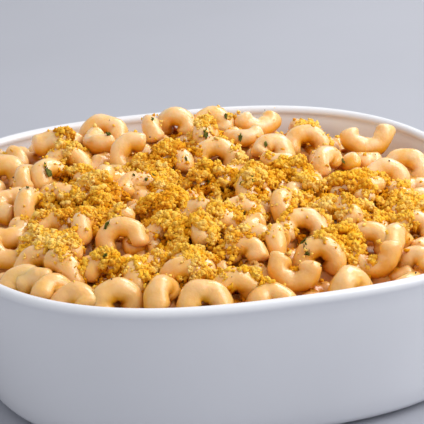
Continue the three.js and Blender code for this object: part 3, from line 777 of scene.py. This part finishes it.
# where the view shows thick crumbs: pixels across and down, size in millimetres, how thick
crumbHeaps = [
    (68, 135, 7, 1), (65, 148, 8, 0.9), (76, 160, 9, 0.9), (90, 175, 9, 1), (84, 190, 8, 0.8),
    (50, 192, 7, 0.8), (60, 200, 12, 1.1), (42, 208, 7, 0.8), (78, 200, 9, 1), (95, 195, 10, 1.1),
    (105, 184, 8, 0.9), (92, 210, 9, 1), (104, 208, 8, 1), (42, 228, 9, 0.9), (52, 240, 11, 1),
    (38, 238, 7, 0.8), (62, 250, 9, 0.8), (66, 230, 8, 0.7), (107, 254, 8, 0.9), (118, 262, 7, 0.8),
    (84, 254, 7, 0.7), (129, 259, 8, 0.8), (142, 268, 7, 0.7), (90, 272, 6, 0.5), (120, 180, 7, 0.7),
    (142, 150, 8, 0.9), (150, 152, 9, 1.1), (165, 150, 10, 1.1), (175, 160, 9, 1), (165, 168, 9, 0.9),
    (185, 140, 7, 0.9), (175, 130, 9, 0.9), (190, 126, 8, 0.9), (176, 118, 6, 0.5), (136, 134, 6, 0.4),
    (200, 122, 7, 0.9), (214, 118, 8, 1), (222, 135, 8, 1), (205, 150, 8, 0.8), (213, 168, 8, 0.9),
    (192, 170, 8, 0.9), (205, 185, 9, 0.9), (180, 190, 10, 1.1), (165, 195, 10, 1.1), (172, 210, 10, 1.1),
    (150, 195, 9, 0.8), (188, 212, 9, 1.1), (200, 222, 8, 0.9), (180, 225, 9, 1), (168, 240, 9, 0.9),
    (186, 248, 9, 0.9), (205, 240, 8, 0.9), (222, 232, 9, 1), (232, 222, 8, 0.9), (212, 208, 8, 0.8),
    (240, 235, 7, 0.7), (222, 258, 9, 1), (240, 262, 10, 1.1), (210, 262, 9, 0.9), (232, 272, 7, 0.6),
    (250, 268, 7, 0.9), (195, 262, 8, 0.8), (235, 170, 8, 0.8), (242, 185, 7, 0.8), (248, 150, 9, 0.9),
    (262, 150, 8, 0.8), (238, 140, 8, 0.9), (265, 165, 9, 1.1), (258, 178, 9, 1), (270, 180, 7, 0.8),
    (285, 122, 7, 0.8), (300, 122, 8, 0.8), (305.5, 120.5, 9, 1), (335, 135, 6, 0.7), (282, 160, 8, 0.8),
    (300, 158, 8, 0.9), (308, 170, 8, 1), (290, 185, 8, 0.7), (315, 180, 9, 0.9), (330, 185, 9, 0.9),
    (300, 195, 7, 0.8), (345, 172, 8, 0.9), (358, 168, 8, 0.9), (340, 160, 7, 0.6), (352, 185, 9, 0.9),
    (366, 200, 10, 1.1), (350, 205, 8, 0.8), (372, 185, 8, 0.9), (395, 185, 9, 0.9), (405, 195, 10, 1),
    (390, 200, 9, 0.9), (412, 180, 7, 0.8), (400, 210, 8, 0.9), (418, 200, 8, 0.9), (330, 208, 8, 0.8),
    (322, 200, 7, 0.7), (338, 222, 9, 1), (335, 235, 9, 1.1), (348, 240, 8, 0.9), (345, 228, 8, 0.9),
    (312, 232, 6, 0.6), (365, 245, 6, 0.5), (300, 252, 6, 0.5), (325, 290, 6, 0.4), (288, 212, 6, 0.5),
    (255, 200, 7, 0.8), (268, 232, 6, 0.6), (235, 205, 7, 0.7), (380, 172, 7, 0.7),
]

# two more behind the crest of the mound, out of sight: x and y in millimetres, size, how thick
hiddenHeaps = [(90, 84, 8, 0.9), (34, 87, 6, 0.6)]


# How thick crumbs lie: the highest of many bells, exp(-(distance/size)^3), whose sizes change round
# them in three large and five small lobes. None lie close to the wall.
def crumbCover(surface):
    x, y = surface.gridX, surface.gridY
    cover = 0 * x
    heaps = [(*sightSpot(moundHeight, across, down, view["fineStep"]), size, high)
             for across, down, size, high in crumbHeaps]
    for cx, cy, size, high in heaps + hiddenHeaps:
        angle = np.arctan2(y - cy, x - cx)
        lobes = 1 + crumbs["lobe"] * np.sin(3 * angle + cx) + crumbs["smallLobe"] * np.sin(5 * angle + cy)
        cover = np.maximum(cover, high * np.exp(-(np.hypot(x - cx, y - cy) / (size * lobes)) ** 3))
    inside = distanceIn(x, y) - dish["lipRadius"]
    return cover * np.clip((inside - crumbs["rim"]) / crumbs["edge"], 0, 1)


# how toasted they are there: a sum of bells, exp(-(distance/size)^2), no more than 1
def crumbToast(surface, x, y):
    bells = (np.exp(-((x - cx) ** 2 + (y - cy) ** 2) / size ** 2) for cx, cy, size in surface.toasted)
    return np.minimum(sum(bells), 1)


# spots drawn on the map, more of them where `weights` are high
def pickSpots(weights, surface, count, rng):
    share = np.cumsum(weights.ravel())
    cell = np.searchsorted(share, rng.uniform(0, share[-1], count))
    i, j = np.unravel_index(np.clip(cell, 0, weights.size - 1), weights.shape)
    jitter = rng.uniform(-0.5, 0.5, (2, count)) * heights["step"]
    return surface.xs[i] + jitter[0], surface.ys[j] + jitter[1]


# The bed of crumbs: a level that fills the valleys between noodles, and coats the noodles where
# the cover is thickest; large and then small balls set into it make it lumpy.
def crumbLevel(surface, cover, rng):
    bed = HeightMap(lambda x, y: 0 * x)
    valley = surface.blurred(crumbs["smooth"]) + crumbs["sunk"] + crumbs["high"] * cover
    coat = surface.z + crumbs["coat"] * (cover - crumbs["coatFrom"])
    bed.z = np.maximum(valley, np.minimum(coat, valley + crumbs["coatMost"]))
    for count, low, high in ((crumbs["lumps"], crumbs["lumpLow"], crumbs["lumpHigh"]),
                             (crumbs["bits"], crumbs["bitLow"], crumbs["bitHigh"])):
        x, y = pickSpots(np.where(cover > crumbs["lumpFrom"], cover, 0), bed, count, rng)
        radius = rng.uniform(low, high, count)
        bed.addBalls(x, y, bed.at(x, y) - rng.uniform(0.0, crumbs["lumpSunk"], count) * radius, radius)
    return bed


# how light a crumb is: painted shade, crumbs that stand out of the heap lighter than those in its hollows;
# toasted spots make them darker, and a small drawn spread is random tone
def crumbTone(surface, x, y, z, rng):
    over = z - surface.level[surface.index(x, y)]
    light = crumbs["light"] + over / crumbs["shade"] - crumbs["darker"] * crumbToast(surface, x, y)
    return np.clip(light + rng.uniform(-crumbs["toneSpread"], crumbs["toneSpread"], z.shape), 0, 1)


# dry and dull: the colour follows each crumb's tone, which carries painted shade, with soft patches
def crumbShader(name, stops):
    shader = Shader(name)
    shader.set(Roughness=0.75, Specular_IOR_Level=0.04)
    patches = shader.share(shader.noise(60, 3, 0.6), 0.35, 0.68)
    shader.paint(shader.ramp(shader.mix(0.4, shader.attribute("tone"), patches), stops))
    shader.bump(shader.noise(1500, 2), 0.4, 0.0003)
    return shader


# the bed as a slab where it shows between and on the noodles; it raises the map for what lies on it
def makeCrumbBed(surface, cover, rng):
    bed = crumbLevel(surface, cover, rng)
    near = cellCorners(bed.z > surface.z - crumbs["bedUnder"]).any(axis=0)
    flat = np.ptp(cellCorners(bed.z), axis=0) < crumbs["steepest"]
    wanted = near & (cover[:-1, :-1] > crumbs["thinnest"]) & flat
    surface.z = np.where(cover > crumbs["thinnest"], np.maximum(bed.z, surface.z), surface.z)
    surface.level = surface.blurred(crumbs["levelReach"])
    piece = slabMesh("crumbBed", bed.gridX, bed.gridY, bed.z, wanted, crumbs["under"])
    x, y, z = meshPoints(piece).T
    setAttribute(piece, "tone", crumbTone(surface, x, y, z, rng))
    finish(piece, crumbShader("crumbBed", crumbColors["goldenCrumbs"]))
    return bed


# Three kinds of loose crumbs, drawn where the bed shows, fewer round it and a few astray; the toasted
# ones gather in their spots, which the others leave to them.
def makeCrumbs(surface, rng):
    surface.toasted = surface.seen(toastedSpots)
    cover = crumbCover(surface)
    bed = makeCrumbBed(surface, cover, rng)
    inside = distanceIn(surface.gridX, surface.gridY)
    onBed = (bed.z > surface.noodleTops - crumbs["grainUnder"]) & (cover > crumbs["thinnest"])
    shown = np.where(onBed, 1.0, 0.0) + crumbs["loose"] * np.clip(cover * crumbs["looseGain"], 0, 1)
    shown = shown + crumbs["stray"] * np.clip((inside - crumbs["strayFrom"]) / crumbs["strayOver"], 0, 1)
    shown = np.where(inside > dish["lipRadius"] + crumbs["wallGap"], shown, 0)
    toast = crumbToast(surface, surface.gridX, surface.gridY)
    gathered = crumbs["toastedAway"] + crumbs["toastedGain"] * toast
    left = 1 - crumbs["toastedLoss"] * toast
    for name, stops in crumbColors.items():
        n = crumbs[name.replace("Crumbs", "")]
        x, y = pickSpots(shown * (gathered if name == "toastedCrumbs" else left), surface, n, rng)
        size = np.clip(1 + crumbs["spread"] * rng.normal(size=n), crumbs["smallest"], crumbs["largest"])
        radius = crumbs["radius"] * size
        z = surface.at(x, y) + rng.uniform(crumbs["sinkLow"], crumbs["sinkHigh"], n) * radius
        tone = crumbTone(surface, x, y, z, rng)
        makeGrains(name, x, y, z, radius, tone, crumbShader(name, stops), rng)


herbs = dict(rows=6, columns=5, reach=0.65, wide=0.6, thick=0.14, ruffle=0.42, curl=0.3,
             over=0.3, slopeReach=1.5,
             leafColors=[(0.3, (0.045, 0.045, 0.002)), (0.7, (0.16, 0.16, 0.018))],
             pepper=120, pepperRadius=0.26, pepperX=105, pepperY=96, pepperGap=9,
             pepperColors=[(0, (0.02, 0.012, 0.008)), (1, (0.12, 0.07, 0.03))])

# where the view shows leaves: pixels across and down, length in millimetres
leafSpots = [(49, 176, 2.6), (45, 165, 1.6), (27, 188, 1.3), (109.5, 135, 1.8), (151, 121, 1.8),
             (206, 136, 2.6), (225, 116, 1.6), (265, 144, 1.5), (240, 146, 1.9), (186, 160, 1.3),
             (254, 187, 1.7), (241, 187, 1.1), (211, 193, 2.2), (243, 214, 1.7), (106, 229, 2.2),
             (105, 262, 1.3), (306, 253, 3.0), (303, 244, 2.0), (154, 178, 1.2), (145, 180, 1.1),
             (343, 169, 1.3), (165, 143, 1.0), (133, 177, 1.1)]


# how steeply the map rises along X and Y, at most as 1 in 1: the difference over 2 * reach
def slopes(surface, x, y, reach):
    def level(x, y):
        return surface.level[surface.index(x, y)]
    alongX = (level(x + reach, y) - level(x - reach, y)) / (2 * reach)
    alongY = (level(x, y + reach) - level(x, y - reach)) / (2 * reach)
    return np.clip(alongX, -1, 1), np.clip(alongY, -1, 1)


# two sheets of rows x columns points, the upper one first, joined along their border
def leafFaces(rows, columns):
    count = rows * columns
    i, j = np.meshgrid(np.arange(rows - 1), np.arange(columns - 1), indexing="ij")
    a = (i * columns + j).ravel()
    upper = np.concatenate([np.stack([a, a + columns, a + columns + 1], 1),
                            np.stack([a, a + columns + 1, a + 1], 1)])
    border = np.concatenate([np.arange(columns - 1), columns - 1 + columns * np.arange(rows - 1),
                             count - 1 - np.arange(columns - 1),
                             count - columns - columns * np.arange(rows - 1)])
    after = np.roll(border, -1)
    sides = np.concatenate([np.stack([border, after + count, after], 1),
                            np.stack([border, border + count, after + count], 1)])
    return np.concatenate([upper, upper[:, ::-1] + count, sides])


# Chopped leaf: a thin chip, its sheet bent as z = curl * u^2 + ruffle * sin(4 v + 3 u), closed by
# a second sheet, tipped to lie on the slope below it.
def makeParsley(surface, rng):
    u, v = np.meshgrid(np.linspace(-1, 1, herbs["rows"]), np.linspace(-1, 1, herbs["columns"]), indexing="ij")
    sheets = []
    for x, y, size in surface.seen(leafSpots):
        long = herbs["reach"] * size
        wide = herbs["reach"] * size * herbs["wide"] * rng.uniform(0.8, 1.3)
        edge = 1 - 0.35 * v ** 2 + 0.25 * np.sin(5 * v + rng.uniform(0, 6))
        px, py = u * long * edge, v * wide * (1 - 0.3 * u ** 2 + 0.2 * np.sin(6 * u + rng.uniform(0, 6)))
        curl = rng.uniform(-herbs["curl"], herbs["curl"]) * u ** 2 * long
        pz = curl + herbs["ruffle"] * long * np.sin(4 * v + 3 * u + rng.uniform(0, 6))
        turn = rng.uniform(0, 2 * math.pi)
        qx, qy = px * math.cos(turn) - py * math.sin(turn), px * math.sin(turn) + py * math.cos(turn)
        slopeX, slopeY = slopes(surface, x, y, herbs["slopeReach"])
        qz = pz + qx * slopeX + qy * slopeY
        sheet = np.stack([qx + x, qy + y, qz + surface.at(x, y) + herbs["over"]], -1).reshape(-1, 3)
        sheets.append(np.concatenate([sheet + (0, 0, herbs["thick"]), sheet]))
    first = len(sheets[0]) * np.arange(len(sheets))
    faces = (leafFaces(herbs["rows"], herbs["columns"])[None] + first[:, None, None]).reshape(-1, 3)
    piece = makeMesh("parsley", np.concatenate(sheets), faces)
    closePoles(piece)
    shader = Shader("parsleyLeaf")
    shader.set(Roughness=0.6, Specular_IOR_Level=0.12)
    shader.paint(shader.ramp(shader.noise(900, 2), herbs["leafColors"]))
    finish(piece, shader)


# specks drawn evenly, but for a gap along the wall
def makePepper(surface, rng):
    n = herbs["pepper"]
    x = rng.uniform(-herbs["pepperX"], herbs["pepperX"], n)
    y = rng.uniform(-herbs["pepperY"], herbs["pepperY"], n)
    keep = distanceIn(x, y) > herbs["pepperGap"]
    x, y = x[keep], y[keep]
    radius = herbs["pepperRadius"] * rng.uniform(0.5, 1.5, len(x))
    shader = Shader("groundPepper")
    shader.set(Roughness=0.7)
    shader.paint(shader.ramp(shader.attribute("tone"), herbs["pepperColors"]))
    z = surface.at(x, y) + 0.1 * radius
    makeGrains("pepper", x, y, z, radius, rng.uniform(0, 1, len(x)), shader, rng)


studio = dict(floorSize=3.0, floorColor=(0.392, 0.403, 0.452), floorShade=1.06, aim=(0, 0, 0.07),
              world=(0.96, 0.97, 1.0), worldStrength=0.63)

# the lights: name, spot, size, watts, colour
lamps = [
    ("windowLight", (0.66, 0.5, 0.8), 0.55, 4.9, (1.0, 0.985, 0.96)),
    ("skyLight", (0.5, -0.15, 1.0), 0.7, 2.3, (0.97, 0.985, 1.0)),
    ("rightFill", (0.56, -0.3, 0.62), 0.6, 3.7, (1.0, 0.99, 0.97)),
    ("leftFill", (-1.2, -0.4, 0.3), 0.8, 0.6, (0.98, 0.99, 1.0)),
]


# a pale floor, an even sky and four square lights that face the dish
def makeStudio():
    s = studio["floorSize"] / 2 / mm
    corners = np.array([(-s, -s, 0), (s, -s, 0), (s, s, 0), (-s, s, 0)], float)
    floor = makeMesh("floor", corners, np.array([[0, 1, 2, 3]]))
    shader = Shader("paleFloor")
    shader.set(Roughness=0.6)
    lighter = shaded(studio["floorColor"], studio["floorShade"])
    shader.paint(shader.ramp(shader.noise(5, 4), [(0.3, studio["floorColor"]), (0.7, lighter)]))
    floor.data.materials.append(shader.material)
    world = bpy.data.worlds.new("studio")
    world.use_nodes = True
    back = next(n for n in world.node_tree.nodes if n.type == "BACKGROUND")
    back.inputs["Color"].default_value = (*studio["world"], 1)
    back.inputs["Strength"].default_value = studio["worldStrength"]
    scene.world = world
    for name, spot, size, power, color in lamps:
        light = bpy.data.lights.new(name, "AREA")
        light.shape, light.size, light.energy, light.color = "SQUARE", size, power, color
        lamp = bpy.data.objects.new(name, light)
        lamp.location = spot
        lamp.rotation_euler = (Vector(studio["aim"]) - Vector(spot)).to_track_quat("-Z", "Y").to_euler()
        scene.collection.objects.link(lamp)


# the camera stands at focus + back * distance and faces the other way
def makeCamera():
    back = Vector(cameraAxes()[2])
    lens = bpy.data.cameras.new("camera")
    lens.lens, lens.sensor_width, lens.sensor_fit = view["lens"], view["sensor"], "HORIZONTAL"
    lens.shift_x, lens.shift_y = view["shiftX"], view["shiftY"]
    lens.clip_start, lens.clip_end = view["near"], view["far"]
    camera = bpy.data.objects.new("camera", lens)
    camera.location = Vector(view["focus"]) + back * view["distance"]
    camera.rotation_euler = back.to_track_quat("Z", "Y").to_euler()
    scene.collection.objects.link(camera)
    scene.camera = camera


makeCamera()
makeStudio()
scene.view_settings.view_transform = "Standard"
print("camera and studio are ready")
pile = fillHeap()
print("dropped", len(pile), "noodles")
rng = np.random.default_rng(7)
makeDish()
surface = mapNoodles(pile)
makeNoodles(pile, surface, rng)
makeSauce(surface)
makeFilm(surface)
print("dish, noodles and sauce are made")
makeCrumbs(surface, rng)
makeParsley(surface, rng)
makePepper(surface, rng)
print("crumbs and herbs are scattered")
